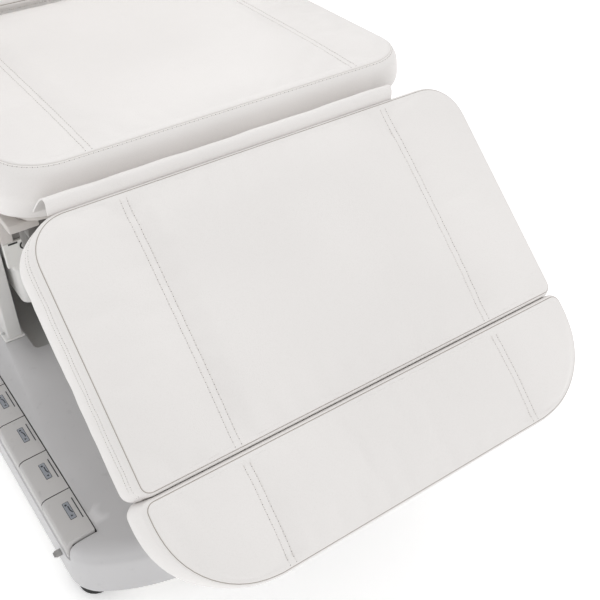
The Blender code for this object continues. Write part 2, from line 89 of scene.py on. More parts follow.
class Finish:
    """A material with a node tree that is built up a layer at a time."""

    def __init__(self, name, roughness, metallic=0.0):
        self.material = bpy.data.materials.new(name)
        self.material.use_nodes = True
        self.tree = self.material.node_tree
        self.shader = self.tree.nodes["Principled BSDF"]
        self.fill(self.shader, {"Metallic": metallic, "Roughness": roughness})
        self.place = self.add("ShaderNodeTexCoord", "Object", {})
        self.relief = None

    def fill(self, node, inputs):
        """Give each input of a node a value or another node's output; None leaves it as it is."""
        for key, value in inputs.items():
            if isinstance(value, bpy.types.NodeSocket):
                self.tree.links.new(value, node.inputs[key])
            elif value is not None:
                node.inputs[key].default_value = value

    def add(self, kind, output, inputs, **settings):
        """A new node; gives that output of it."""
        node = self.tree.nodes.new(kind)
        for key, value in settings.items():
            setattr(node, key, value)
        self.fill(node, inputs)
        return node.outputs[output]

    def stretched(self, *scale):
        """The object's place with each axis scaled, for grain that runs one way."""
        return self.add("ShaderNodeMapping", "Vector", {"Scale": scale, "Vector": self.place})

    def noise(self, scale, detail=3.0, place=None):
        inputs = {"Scale": scale, "Detail": detail, "Vector": place or self.place}
        return self.add("ShaderNodeTexNoise", "Fac", inputs)

    def cells(self, scale, feature="F1"):
        inputs = {"Scale": scale, "Vector": self.place}
        return self.add("ShaderNodeTexVoronoi", "Distance", inputs, feature=feature)

    def spread(self, value, low, high, out_low, out_high):
        """A value moved from one range to another, and kept inside it."""
        ends = {"From Min": low, "From Max": high, "To Min": out_low, "To Max": out_high}
        return self.add("ShaderNodeMapRange", "Result", {"Value": value, **ends})

    def patches(self, scale, detail, low, high, out_low=0.0, out_high=1.0):
        """Noise, with its range from low to high moved to another."""
        return self.spread(self.noise(scale, detail), low, high, out_low, out_high)

    def blend(self, factor, first, second):
        """A colour between two, each in screen values or another node's output."""
        first, second = (tint(*end) if isinstance(end, tuple) else end for end in (first, second))
        return self.add("ShaderNodeMix", 2, {"Factor": factor, 6: first, 7: second}, data_type="RGBA")

    def wear_and_shading(self, low, high):
        """0 in creases and on flats, 1 on sharp edges; 1 in creases instead when low is above high. It
        drives real edge wear, painted shade in creases and painted highlights on edges.
        """
        return self.spread(self.add("ShaderNodeNewGeometry", "Pointiness", {}), low, high, 0.0, 1.0)

    def bump(self, height, distance, strength=1.0):
        """A layer of relief on top of the ones before it."""
        inputs = {"Distance": distance, "Strength": strength, "Height": height, "Normal": self.relief}
        self.relief = self.add("ShaderNodeBump", "Normal", inputs)

    def done(self, colour, roughness=None, **inputs):
        self.fill(self.shader, {"Base Color": colour, "Roughness": roughness, "Normal": self.relief})
        self.fill(self.shader, {key.replace("_", " "): value for key, value in inputs.items()})
        return self.material


def vinyl():
    """White upholstery vinyl: fine pebbled grain, soft hand, and painted shade that darkens the creases."""
    finish = Finish("white_vinyl", 0.45)
    finish.bump(finish.cells(780.0, "SMOOTH_F1"), 0.00022, 0.55)
    finish.bump(finish.noise(1900.0, 2.0), 0.00008, 0.5)
    finish.bump(finish.noise(22.0, 4.0), 0.0012, 0.22)
    broad = finish.patches(3.1, 2.0, 0.35, 0.65)
    colour = finish.blend(broad, (236, 233, 231), (231, 228, 226))
    # Painted shade: the creases are darkened by how hollow the surface is.
    crease_shade = finish.wear_and_shading(0.485, 0.455)
    colour = finish.blend(crease_shade, colour, (218, 213, 208))
    specks = finish.spread(finish.cells(780.0), 0.55, 0.75, 0.0, 0.12)
    colour = finish.blend(specks, colour, (216, 212, 208))
    rough = finish.patches(34.0, 3.0, 0.3, 0.7, 0.40, 0.52)
    return finish.done(colour, rough, Specular_IOR_Level=0.42, Sheen_Weight=0.05)


def thread(name, light, dark):
    """Twisted sewing thread; the same banded finish also makes the painted shade in seams and needle holes.
    """
    finish = Finish(name, 0.6)
    inputs = {"Scale": 420.0, "Distortion": 1.5, "Vector": finish.place}
    twist = finish.add("ShaderNodeTexWave", "Fac", inputs, wave_type="BANDS", bands_direction="DIAGONAL")
    finish.bump(twist, 0.00015, 0.7)
    colour = finish.blend(twist, dark, light)
    return finish.done(colour, Sheen_Weight=0.1)


def moulded(name, light, dark, low_rough, high_rough, grain=0.0001):
    """Moulded plastic: spark-eroded grain, faint flow marks, and a painted highlight that makes sharp edges
    paler.
    """
    finish = Finish(name, low_rough)
    finish.bump(finish.noise(1500.0, 2.0), grain, 0.6)
    finish.bump(finish.noise(9.0, 2.0), 0.0008, 0.12)
    flow = finish.patches(4.0, 3.0, 0.35, 0.65)
    colour = finish.blend(flow, light, dark)
    # Painted highlight: sharp edges lighter than the rest of the part.
    wear_and_shading = tuple(min(255, channel + 16) for channel in light)
    edge = finish.wear_and_shading(0.53, 0.60)
    colour = finish.blend(edge, colour, wear_and_shading)
    scuffs = finish.patches(70.0, 6.0, 0.62, 0.75, 0.0, 0.35)
    soiled = tuple(channel - 14 for channel in dark)
    colour = finish.blend(scuffs, colour, soiled)
    rough = finish.patches(26.0, 4.0, 0.3, 0.7, low_rough, high_rough)
    return finish.done(colour, rough)


def painted():
    """Powder-coated steel: orange peel, with paint thinning on the edges."""
    finish = Finish("white_powder_coat", 0.4)
    finish.bump(finish.noise(420.0, 2.0), 0.00015, 0.5)
    colour = finish.blend(finish.noise(7.0, 3.0), (226, 224, 220), (216, 214, 210))
    edge = finish.wear_and_shading(0.56, 0.66)
    colour = finish.blend(edge, colour, (186, 182, 176))
    rough = finish.patches(40.0, 3.0, 0.3, 0.7, 0.34, 0.46)
    return finish.done(colour, rough)


def brushed():
    """Bright drawn steel with fine lines along the bed."""
    finish = Finish("brushed_steel", 0.3, 1.0)
    lines = finish.noise(90.0, 5.0, finish.stretched(14.0, 0.35, 14.0))
    finish.bump(lines, 0.00008, 0.6)
    colour = finish.blend(lines, (206, 206, 204), (178, 179, 180))
    rough = finish.spread(lines, 0.3, 0.7, 0.22, 0.38)
    return finish.done(colour, rough)


def plywood():
    """Birch ply: long figure, fine pores, sealed with a dull lacquer."""
    finish = Finish("birch_ply", 0.55)
    figure = finish.noise(5.0, 5.0, finish.stretched(9.0, 0.8, 22.0))
    pores = finish.noise(60.0, 4.0, finish.stretched(18.0, 1.0, 30.0))
    bands = finish.spread(figure, 0.3, 0.7, 0.0, 1.0)
    colour = finish.blend(bands, (214, 190, 152), (188, 158, 118))
    colour = finish.blend(finish.spread(pores, 0.6, 0.75, 0.0, 0.6), colour, (140, 110, 78))
    finish.bump(pores, 0.0002, 0.5)
    rough = finish.spread(figure, 0.3, 0.7, 0.48, 0.62)
    return finish.done(colour, rough)


def rubber():
    """Black rubber with a matt bloom; also used as painted shadow in the gaps round the pedals and the
    head.
    """
    finish = Finish("black_rubber_and_shade", 0.75)
    finish.bump(finish.noise(600.0, 3.0), 0.0002, 0.8)
    colour = finish.blend(finish.noise(30.0, 4.0), (26, 26, 25), (40, 39, 38))
    return finish.done(colour)


def label_film():
    """Satin printed film on the pedals."""
    finish = Finish("label_film", 0.35)
    finish.bump(finish.noise(900.0, 2.0), 0.00006, 0.5)
    colour = finish.blend(finish.noise(40.0, 3.0), (156, 160, 168), (146, 151, 159))
    return finish.done(colour)


def floor_paint():
    """Seamless pale studio floor."""
    finish = Finish("studio_floor", 0.85)
    colour = finish.blend(finish.noise(1.5, 3.0), (254, 254, 254), (251, 251, 251))
    return finish.done(colour, Emission_Color=(1.0, 1.0, 1.0, 1.0), Emission_Strength=0.34)


VINYL = vinyl()
THREAD = thread("white_thread", (232, 229, 225), (206, 201, 195))
# Painted shade in the needle holes.
NEEDLE_HOLE_SHADE = thread("needle_hole_shade", (118, 111, 104), (98, 91, 85))
# Painted shade along the seam grooves: darker on most cushions, faint on the seat.
SEAM_SHADE = thread("seam_shade", (186, 179, 172), (168, 161, 154))
SEAM_FAINT_SHADE = thread("seam_faint_shade", (228, 225, 222), (220, 216, 212))
INK = moulded("label_ink", (38, 40, 45), (30, 31, 36), 0.4, 0.5)
LABEL = label_film()
STEEL = brushed()
RUBBER_AND_SHADE = rubber()
UNDER_TRAY = moulded("under_tray", (204, 199, 195), (196, 191, 187), 0.45, 0.6)
# The actuators' own grey, also used as painted shade on the head's opening panel.
ACTUATOR_AND_SHADE_GREY = moulded("actuator_and_shade_grey", (104, 101, 98), (92, 90, 87), 0.4, 0.55)
KNOB_GREY = moulded("knob_grey", (148, 147, 145), (138, 137, 135), 0.35, 0.5)
SLOT_MATERIALS = {
    "white_vinyl": VINYL,
    "base_shell": moulded("shell_grey", (204, 203, 204), (197, 196, 197), 0.36, 0.48),
    "pedal_grey": moulded("pedal_grey", (192, 190, 189), (185, 183, 182), 0.38, 0.50),
    "cover_grey": moulded("cover_grey", (220, 219, 217), (212, 211, 209), 0.40, 0.52),
    "head_white": moulded("head_white", (228, 227, 223), (220, 219, 215), 0.30, 0.40),
    "white_steel": painted(),
    "bright_steel": STEEL,
    "board": plywood(),
    "black_plastic": moulded("black_plastic", (40, 40, 41), (32, 32, 33), 0.35, 0.5),
    "foot_rubber": RUBBER_AND_SHADE,
}


# ---- making pieces

def placed(name, data):
    """A new object in the scene."""
    made = bpy.data.objects.new(name, data)
    bpy.context.scene.collection.objects.link(made)
    return made


def attach(made, body):
    """Let a finished piece ride on its body."""
    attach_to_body(made, body)
    return made


def piece(name, points, faces, materials, body):
    """A new smooth mesh that rides on a body; a face is a vertex loop, or (loop, material number)."""
    mesh = bpy.data.meshes.new(name)
    marked = [face if isinstance(face[0], tuple) else (face, 0) for face in faces]
    mesh.from_pydata([tuple(point) for point in points], [], [loop for loop, _ in marked])
    for material in materials:
        mesh.materials.append(material)
    for polygon, (_, number) in zip(mesh.polygons, marked):
        polygon.use_smooth = True
        polygon.material_index = number
    return attach(placed(name, mesh), body)


@contextmanager
def edited(mesh):
    """The mesh opened for editing, and written back at the end."""
    work = bmesh.new()
    work.from_mesh(mesh)
    yield work
    work.to_mesh(mesh)
    work.free()


def modify(made, kind, **settings):
    """A new modifier with those settings."""
    modifier = made.modifiers.new(kind.lower(), kind)
    for key, value in settings.items():
        setattr(modifier, key, value)
    return modifier


def apply_modifiers(made):
    """Keep what the modifiers make, and drop them."""
    bpy.context.view_layer.update()
    depsgraph = bpy.context.evaluated_depsgraph_get()
    result = bpy.data.meshes.new_from_object(made.evaluated_get(depsgraph), depsgraph=depsgraph)
    made.modifiers.clear()
    old = made.data
    made.data = result
    bpy.data.meshes.remove(old)


def shade(made, sharp):
    """Smooth shading, with an edge wherever faces turn by more than that many degrees."""
    made.data.shade_smooth()
    made.data.set_sharp_from_angle(angle=math.radians(sharp))


def break_edges(made, width, segments, corner=35.0, sharp=38.0, miter="MITER_SHARP"):
    """Round the edges that turn by more than corner degrees, and shade the piece."""
    modify(made, "BEVEL", width=width, segments=segments, limit_method="ANGLE",
           angle_limit=math.radians(corner), miter_outer=miter)
    apply_modifiers(made)
    shade(made, sharp)


def circle(count):
    """Angles all the way round."""
    return [2.0 * math.pi * k / count for k in range(count)]


def belt(first, second):
    """Faces between two closed rings of vertices."""
    ends = list(zip(first, second))
    return [(a, b, d, c) for (a, b), (c, d) in zip(ends, ends[1:] + ends[:1])]


def spaced(start, end, step, marks=()):
    """Places from start to end about step apart, with one on each mark."""
    inside = sorted(mark for mark in marks if start + 0.3 * step < mark < end - 0.3 * step)
    places = [start]
    for low, high in zip([start] + inside, inside + [end]):
        count = max(1, round((high - low) / step))
        places += [low + (high - low) * k / count for k in range(1, count + 1)]
    return places


def soft_edges(node, width, material=None):
    """A copy of a CAD node with its edges broken, which stands for the node."""
    mesh = NODES[node].data.copy()
    with edited(mesh) as work:
        bmesh.ops.remove_doubles(work, verts=work.verts, dist=0.00002)
        bmesh.ops.dissolve_limit(work, angle_limit=math.radians(1.0), verts=work.verts, edges=work.edges)
    mesh.materials.clear()
    mesh.materials.append(material or SLOT_MATERIALS[SLOT_OF[node]])
    for polygon in mesh.polygons:
        polygon.material_index = 0
    made = placed(f"{node}_shaped", mesh)
    break_edges(made, width, 2, corner=30.0, sharp=34.0, miter="MITER_ARC")
    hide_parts(node)
    return attach(made, BODY_OF[node])


# ---- cushions

CORNER_STEPS = 8
SHARPEST_CORNER = 0.003
ROW_GAP = 0.009
STITCH_PITCH = 0.0066
STITCH_LENGTH = 0.70 * STITCH_PITCH
THREAD_RADIUS = 0.00042
THREAD_SIDES = 5
HOLE_RADIUS = 1.5 * THREAD_RADIUS
HOLE_SIDES = 6
# Along a stitch: share of its length, height and thickness in thread radii.
THREAD_ARCH = ((-0.5, -0.9, 0.5), (-0.34, 0.15, 0.9), (0.0, 0.45, 1.0), (0.34, 0.15, 0.9), (0.5, -0.9, 0.5))
SEAM_LIP = 0.0019
# Across the seam: place in lips, how far it is sunk, and what the ring is.
SEAM_RINGS = ((-1.0, -0.0004, "lip"), (-0.26, 0.0005, "seam"), (0.0, 0.0013, "seam"),
              (0.26, 0.0005, "lip"), (1.0, -0.0005, "roll"))
CLOTH_STEPS = 20
CLOTH = {"vertex_group_mass": "held", "use_pressure": True, "uniform_pressure_force": 4.0, "quality": 5,
         "mass": 0.3, "tension_stiffness": 14.0, "compression_stiffness": 14.0, "bending_stiffness": 0.6,
         "shrink_min": -0.012}
SIDE_SHARE = 0.1
cushions = []


@dataclass
class Pad:
    """What one cushion measures, flat, with its face at z = 0 and the bed's length along y."""
    name: str
    node: str
    body: str
    place: Matrix
    half: float
    front: float
    rear: float
    radii: tuple
    depth: float
    edge: float
    crown: float
    seam_turn: float = 30.0
    rows: tuple = ()
    side_bulge: float = 0.004
    end_bulge: float = 0.001
    front_cut: float = 0.0
    rear_cut: float = 0.0
    mesh: float = 0.0115
    row_depth: float = 0.0008
    blow: float = 0.006
    topstitch: tuple = ()
    fill: float = 0.7
    seam: bpy.types.Material = SEAM_SHADE

    def __post_init__(self):
        self.seam_turn = math.radians(self.seam_turn)
        self.flat_half = self.half - self.edge
        self.flat_front = self.front + self.edge
        self.flat_rear = self.rear - self.edge

    def stitch_lines(self):
        """How far each row of stitches is from the middle."""
        return [row + side * ROW_GAP / 2.0 for row in self.rows for side in (-1.0, 1.0)]


def corner_turns():
    """Angles round a corner, short of its end."""
    return [math.radians(90.0 * k / CORNER_STEPS) for k in range(CORNER_STEPS)]


def flat_corners(pad):
    """Corner radii of the flat of the face, at the front and at the rear."""
    return [max(radius - pad.edge, SHARPEST_CORNER) for radius in pad.radii]


def grid_rows(pad):
    """Rows across the flat of the face: place along the bed, half width there, edge direction."""
    near, far = flat_corners(pad)
    rows = []
    for turn in corner_turns():
        rows.append((pad.flat_front + near * (1.0 - math.cos(turn)),
                     pad.flat_half - near * (1.0 - math.sin(turn)), (math.sin(turn), -math.cos(turn))))
    for y in spaced(pad.flat_front + near, pad.flat_rear - far, pad.mesh):
        rows.append((y, pad.flat_half, (1.0, 0.0)))
    for turn in reversed(corner_turns()):
        rows.append((pad.flat_rear - far * (1.0 - math.cos(turn)),
                     pad.flat_half - far * (1.0 - math.sin(turn)), (math.sin(turn), math.cos(turn))))
    return rows


def grid_columns(pad):
    """Places across the face, finer beside each row of stitches."""
    beside = (-0.0034, -0.0014, 0.0, 0.0014, 0.0034)
    marks = [line + offset for line in pad.stitch_lines() for offset in beside]
    right = spaced(0.0, pad.flat_half, pad.mesh, marks)
    return [-x for x in reversed(right[1:])] + right


def face_height(pad, x, y):
    """The crown of the face, pulled down along the rows of stitches, with small puckers."""
    across = min(1.0, abs(x) / pad.flat_half)
    along = min(1.0, abs(2.0 * y - pad.flat_front - pad.flat_rear) / (pad.flat_rear - pad.flat_front))
    height = pad.crown * (1.0 - across ** 3.2) * (1.0 - along ** 3.2)
    fade = min(1.0, (1.0 - along) * 9.0)
    for row in pad.rows:
        away = abs(abs(x) - row)
        height -= 1.6 * pad.row_depth * math.exp(-(away / 0.020) ** 2) * fade
        wave = math.sin(y * 207.0 + row * 31.0 + math.copysign(1.3, x))
        wave += 0.7 * math.sin(y * 331.0 + x * 9.0)
        height += 0.30 * pad.row_depth * wave * math.exp(-away / 0.018) * fade
    groove = min(pad.row_depth, 0.0007) * min(1.0, fade * 1.5)
    for line in pad.stitch_lines():
        height -= groove * math.exp(-((abs(x) - line) / 0.0018) ** 2)
    rim = max(min(pad.flat_half - abs(x), y - pad.flat_front, pad.flat_rear - y), 0.0)
    wave = math.sin(x * 171.0 + y * 23.0) + 0.6 * math.sin(y * 149.0 + 1.1 - x * 37.0)
    return height + 0.0004 * wave * math.exp(-rim / 0.022) * min(1.0, rim / 0.006)


def roll_point(pad, turn, sunk=0.0):
    """A point on the rolled top edge: how far out, and how high."""
    radius = pad.edge - sunk
    return (radius * math.sin(turn), radius * math.cos(turn) - pad.edge)


def edge_rings(pad):
    """Outline of the side from the face down: (out, height, kind), where kind says what the ring is."""
    lip = SEAM_LIP / pad.edge
    rings = [roll_point(pad, pad.seam_turn * share) + ("roll",) for share in (0.3, 0.6)]
    rings = [ring for ring in rings if ring[0] < roll_point(pad, pad.seam_turn - 1.3 * lip)[0]]
    for offset, sunk, kind in SEAM_RINGS:
        rings.append(roll_point(pad, pad.seam_turn + offset * lip, sunk) + (kind,))
    for share in (0.4, 0.7, 1.0):
        turn = pad.seam_turn + lip + share * (math.pi / 2.0 - pad.seam_turn - lip)
        rings.append(roll_point(pad, turn) + ("roll",))
    foot = min(0.008, 0.5 * pad.edge)
    top, bottom = -pad.edge, -(pad.depth - foot)
    on_side = [top - drop for drop in pad.topstitch if drop >= 0.0]
    marks = [height + offset for height in on_side for offset in (-0.0016, 0.0, 0.0016)]
    for height in list(reversed(spaced(bottom, top, 0.0085, marks)))[1:]:
        rings.append((pad.edge, height, "boxing"))
    for turn in (30.0, 60.0, 90.0):
        out = pad.edge - foot * (1.0 - math.cos(math.radians(turn)))
        rings.append((out, bottom - foot * math.sin(math.radians(turn)), "foot"))
    rings.append((pad.edge - foot - 0.012, -pad.depth, "under"))
    return rings


def side_swell(pad, height, direction):
    """How far the boxing stands out at this height."""
    share = min(1.0, max(0.0, (-height - pad.edge * 0.5) / (pad.depth - pad.edge * 0.5)))
    bulge = pad.side_bulge * direction[0] ** 2 + pad.end_bulge * direction[1] ** 2
    groove = sum(0.0007 * math.exp(-((height + pad.edge + drop) / 0.0016) ** 2)
                 for drop in pad.topstitch if drop >= 0.0)
    return bulge * math.sin(math.pi * share) ** 0.8 - groove


def slant(pad, y, height):
    """Where a cushion is bevelled underneath, its ends draw in towards the bottom."""
    for cut, fixed in ((pad.front_cut, pad.rear), (pad.rear_cut, pad.front)):
        if cut:
            share = max(0.0, (cut - (height + pad.depth)) / cut)
            y = fixed + (y - fixed) * (1.0 - cut * share / (pad.rear - pad.front))
    return y


def build_face(pad, points, faces):
    """The grid of the face; gives its rim as (vertex, direction out), and what lies under the stitches."""
    rows, columns = grid_rows(pad), grid_columns(pad)
    keep = max([line + 0.004 for line in pad.stitch_lines()] or [0.3 * pad.flat_half])
    index = {}
    for j, (y, reach, _) in enumerate(rows):
        for i, x in enumerate(columns):
            away = abs(x)
            if away > keep:
                away = keep + (away - keep) * (reach - keep) / (pad.flat_half - keep)
            x = math.copysign(away, x)
            index[i, j] = len(points)
            points.append([x, y, face_height(pad, x, y)])
    last_i, last_j = len(columns) - 1, len(rows) - 1
    for j in range(last_j):
        for i in range(last_i):
            faces.append(((index[i, j], index[i + 1, j], index[i + 1, j + 1], index[i, j + 1]), 0))
    rim = [(index[i, 0], (0.0, -1.0)) for i in range(last_i + 1)]
    rim += [(index[last_i, j], rows[j][2]) for j in range(1, last_j)]
    rim += [(index[i, last_j], (0.0, 1.0)) for i in range(last_i, -1, -1)]
    rim += [(index[0, j], (-rows[j][2][0], rows[j][2][1])) for j in range(last_j - 1, 0, -1)]
    for vertex, _ in rim:
        points[vertex][2] = 0.0
    sewn = []
    for line in pad.stitch_lines():
        for i, x in enumerate(columns):
            if abs(abs(x) - line) < 0.0002:
                sewn += [index[i, j] for j in range(last_j + 1)]
    return rim, sewn


def build_pad(pad):
    """One cover, open underneath: the face, then rings down over the seam, the boxing and the foot."""
    points, faces = [], []
    rim, held = build_face(pad, points, faces)
    above, above_kind = [vertex for vertex, _ in rim], "roll"
    held += above
    for out, height, kind in edge_rings(pad):
        first = len(points)
        for vertex, (way_x, way_y) in rim:
            x, y, _ = points[vertex]
            reach = out
            if kind in ("boxing", "roll"):
                reach += side_swell(pad, height, (way_x, way_y))
            if kind != "boxing" or abs(way_y) > 0.6:
                held.append(len(points))
            points.append([x + way_x * reach, slant(pad, y + way_y * reach, height), height])
        below = list(range(first, len(points)))
        # Faces in the seam groove take the pad's seam material, a painted shade.
        number = 1 if above_kind == "seam" and kind in ("seam", "lip") else 0
        faces += [(loop, number) for loop in belt(above, below)]
        above, above_kind = below, kind
    made = piece(pad.name, points, faces, [VINYL, pad.seam], pad.body)
    made.parent = None
    cushions.append((pad, made, sorted(set(held))))


def add_cover_cloth(made, held):
    """Cloth under a little pressure, held at the seams, the stitches and the base."""
    group = made.vertex_groups.new(name="held")
    group.add(held, 1.0, "REPLACE")
    cover = modify(made, "CLOTH")
    cover.settings.effector_weights.gravity = 0.0
    for key, value in CLOTH.items():
        setattr(cover.settings, key, value)
    cover.point_cache.frame_start = 1
    cover.point_cache.frame_end = CLOTH_STEPS


def simulate_covers():
    """Run every cover at once, and keep where the cloth goes, up to each pad's cap."""
    for _, made, held in cushions:
        add_cover_cloth(made, held)
    scene = bpy.context.scene
    scene.frame_start, scene.frame_end = 1, CLOTH_STEPS
    for step in range(1, CLOTH_STEPS + 1):
        scene.frame_set(step)
    depsgraph = bpy.context.evaluated_depsgraph_get()
    moved = [[vertex.co.copy() for vertex in made.evaluated_get(depsgraph).data.vertices]
             for _, made, _ in cushions]
    for (pad, made, _), places in zip(cushions, moved):
        made.modifiers.clear()
        for vertex, place in zip(made.data.vertices, places):
            shift = place - vertex.co
            limit = pad.blow if vertex.co.z > -pad.edge else SIDE_SHARE * pad.blow
            if shift.length > limit:
                shift = shift.normalized() * limit
            vertex.co += shift
        made.vertex_groups.clear()
    scene.frame_set(1)


def add_thread(points, faces, centre, along, side, out):
    """One thread: a low arch whose two ends go into the cover."""
    first = len(points)
    for share, lift, thick in THREAD_ARCH:
        middle = centre + along * (share * STITCH_LENGTH) + out * (lift * THREAD_RADIUS)
        for turn in circle(THREAD_SIDES):
            way = side * math.cos(turn) + out * math.sin(turn)
            points.append(middle + way * (THREAD_RADIUS * thick))
    for start in range(first, len(points) - THREAD_SIDES, THREAD_SIDES):
        for k in range(THREAD_SIDES):
            a, b = start + k, start + (k + 1) % THREAD_SIDES
            faces.append(((a, b, b + THREAD_SIDES, a + THREAD_SIDES), 0))
    faces.append((tuple(reversed(range(first, first + THREAD_SIDES))), 0))
    faces.append((tuple(range(len(points) - THREAD_SIDES, len(points))), 0))


def add_needle_hole(points, faces, place, along, side, out):
    """A small mark of painted shade where the needle goes through the cover: a low cone with another upside
    down below it.
    """
    first = len(points)
    points.append(place + out * 0.00035)
    for turn in circle(HOLE_SIDES):
        way = side * math.cos(turn) + along * math.sin(turn)
        points.append(place + way * HOLE_RADIUS + out * 0.0001)
    points.append(place - out * 0.0008)
    for k in range(HOLE_SIDES):
        a, b = first + 1 + k, first + 1 + (k + 1) % HOLE_SIDES
        faces.append(((first, b, a), 1))
        faces.append(((first + HOLE_SIDES + 1, a, b), 1))


def sew(pad, made, routes):
    """Lay stitches on the cover along each route of (point above the cover, direction to it)."""
    tree = BVHTree.FromPolygons([vertex.co for vertex in made.data.vertices],
                                [tuple(polygon.vertices) for polygon in made.data.polygons])
    points, faces = [], []
    for route in routes:
        hits = [tree.ray_cast(Vector(start), Vector(direction), 0.08)[:2] for start, direction in route]
        hits = [(place, normal) for place, normal in hits if place is not None]
        for (place, normal), (after, _) in zip(hits, hits[1:]):
            along = after - place
            if not 0.5 * STITCH_PITCH < along.length < 1.8 * STITCH_PITCH:
                continue
            centre = (place + after) / 2.0
            along.normalize()
            side = along.cross(normal)
            add_thread(points, faces, centre, along, side, normal)
            add_needle_hole(points, faces, centre - along * (0.5 * STITCH_PITCH), along, side, normal)
    if points:
        points = [pad.place @ point for point in points]
        piece(f"{pad.name}_stitches", points, faces, [THREAD, NEEDLE_HOLE_SHADE], pad.body)


def side_outline(pad):
    """The flat's outline with round corners, as (place, direction out)."""
    near, far = flat_corners(pad)
    corners = [(pad.flat_half, pad.flat_rear, far, 0.0), (-pad.flat_half, pad.flat_rear, far, 90.0),
               (-pad.flat_half, pad.flat_front, near, 180.0), (pad.flat_half, pad.flat_front, near, 270.0)]
    outline = []
    for x, y, radius, first in corners:
        centre = Vector((x - math.copysign(radius, x), y - radius if first < 135.0 else y + radius))
        for k in range(13):
            angle = math.radians(first + 90.0 * k / 12.0)
            way = Vector((math.cos(angle), math.sin(angle)))
            outline.append((centre + radius * way, way))
    return outline + outline[:1]


def side_route(pad, drop):
    """Stitch places all round the boxing, that far below the roll; if negative, an angle on the roll."""
    turn = math.pi / 2.0 if drop >= 0.0 else -drop
    out = pad.edge * math.sin(turn)
    height = -pad.edge * (1.0 - math.cos(turn)) - max(drop, 0.0)
    outline = side_outline(pad)
    route, spare = [], 0.0
    for (a, way_a), (b, way_b) in zip(outline, outline[1:]):
        length = (b - a).length + out * (way_b - way_a).length
        while spare <= length and length > 1e-9:
            share = spare / length
            at, way = a.lerp(b, share), way_a.lerp(way_b, share).normalized()
            toward = Vector((-way.x * math.sin(turn), -way.y * math.sin(turn), -math.cos(turn)))
            place = Vector((at.x + way.x * out, slant(pad, at.y + way.y * out, height), height))
            route.append((place - 0.03 * toward, toward))
            spare += STITCH_PITCH
        spare -= length
    return route


def face_routes(pad):
    """Stitch places along the rows on the face, from seam to seam."""
    start = pad.flat_front - 0.5 * pad.edge
    count = int((pad.flat_rear - pad.flat_front + pad.edge) / STITCH_PITCH)
    places = [start + STITCH_PITCH * (k + 0.5) for k in range(count)]
    return [[((side * line, y, 0.04), (0.0, 0.0, -1.0)) for y in places]
            for line in pad.stitch_lines() for side in (-1.0, 1.0)]


def close_underside(made):
    """Fill the opening under a cover with a flat face."""
    with edited(made.data) as work:
        rim = [edge for edge in work.edges if edge.is_boundary]
        for face in bmesh.ops.contextual_create(work, geom=rim)["faces"]:
            face.smooth = False
        bmesh.ops.recalc_face_normals(work, faces=work.faces)


def finish_covers():
    """Simulate, smooth, sew and put every cushion in its place."""
    simulate_covers()
    for pad, made, _ in cushions:
        modify(made, "SUBSURF", levels=1)
        apply_modifiers(made)
        made.data.shade_smooth()
        close_underside(made)
        sew(pad, made, face_routes(pad) + [side_route(pad, drop) for drop in pad.topstitch])
        made.data.transform(pad.place)
        attach(made, pad.body)
        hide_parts(pad.node)


def build_cushions():
    """Seat, leg rest, footrest, back, headrest and both arm pads."""
    build_pad(Pad("seat_upholstery", "seat_cushion", "lift", SEAT, 0.324, 0.0, 0.541, (0.080, 0.025),
                  0.105, 0.020, 0.005, seam_turn=32.0, rows=(0.21,), row_depth=0.0002, front_cut=0.055,
                  side_bulge=0.003, topstitch=(-0.68,), fill=0.8, seam=SEAM_FAINT_SHADE))
    build_pad(Pad("leg_upholstery", "leg_cushion", "leg_rest", LEG, 0.337, -0.3516, 0.004, (0.016, 0.056),
                  0.095, 0.010, 0.008, seam_turn=36.0, rows=(0.205,), row_depth=0.0018, rear_cut=0.025,
                  side_bulge=0.010, topstitch=(0.004, 0.012), fill=0.7))
    build_pad(Pad("footrest_upholstery", "footrest_cushion", "footrest", LEG, 0.342, -0.507, -0.3524,
                  (0.122, 0.016), 0.095, 0.010, 0.006, seam_turn=36.0, rows=(0.205,), row_depth=0.0018,
                  side_bulge=0.008, end_bulge=0.0003, mesh=0.009, fill=0.7))
    build_pad(Pad("back_upholstery", "back_cushion", "back", BACK @ Matrix.Translation((0.0, 0.0, 0.045)),
                  0.33, 0.033, 0.585, (0.025, 0.070), 0.095, 0.016, 0.008, seam_turn=40.0, rows=(0.205,),
                  side_bulge=0.006, topstitch=(0.004,), fill=0.75))
    build_pad(Pad("headrest_upholstery", "headrest_cushion", "headrest",
                  BACK @ Matrix.Translation((0.0, 0.0, 0.035)), 0.165, 0.600, 0.820, (0.030, 0.090),
                  0.098, 0.016, 0.012, seam_turn=40.0, side_bulge=0.006, mesh=0.009,
                  topstitch=(0.004,), fill=0.75))
    for side, name in ((-1.0, "left"), (1.0, "right")):
        place = BED @ Matrix.Translation((side * 0.38, 0.0, 0.985))
        build_pad(Pad(f"arm_{name}_upholstery", f"arm_pad_{name}", f"arm_{name}", place, 0.035, 0.22, 0.50,
                      (0.034, 0.034), 0.045, 0.016, 0.003, seam_turn=75.0, side_bulge=0.001,
                      mesh=0.006, blow=0.002, fill=0.8))
    finish_covers()


# ---- flap

FLAP_LEFT = -0.2975
FLAP_RIGHT = 0.230
FLAP_COLUMNS = 96
FLAP_STEPS = 24
FLAP_THICKNESS = 0.0022


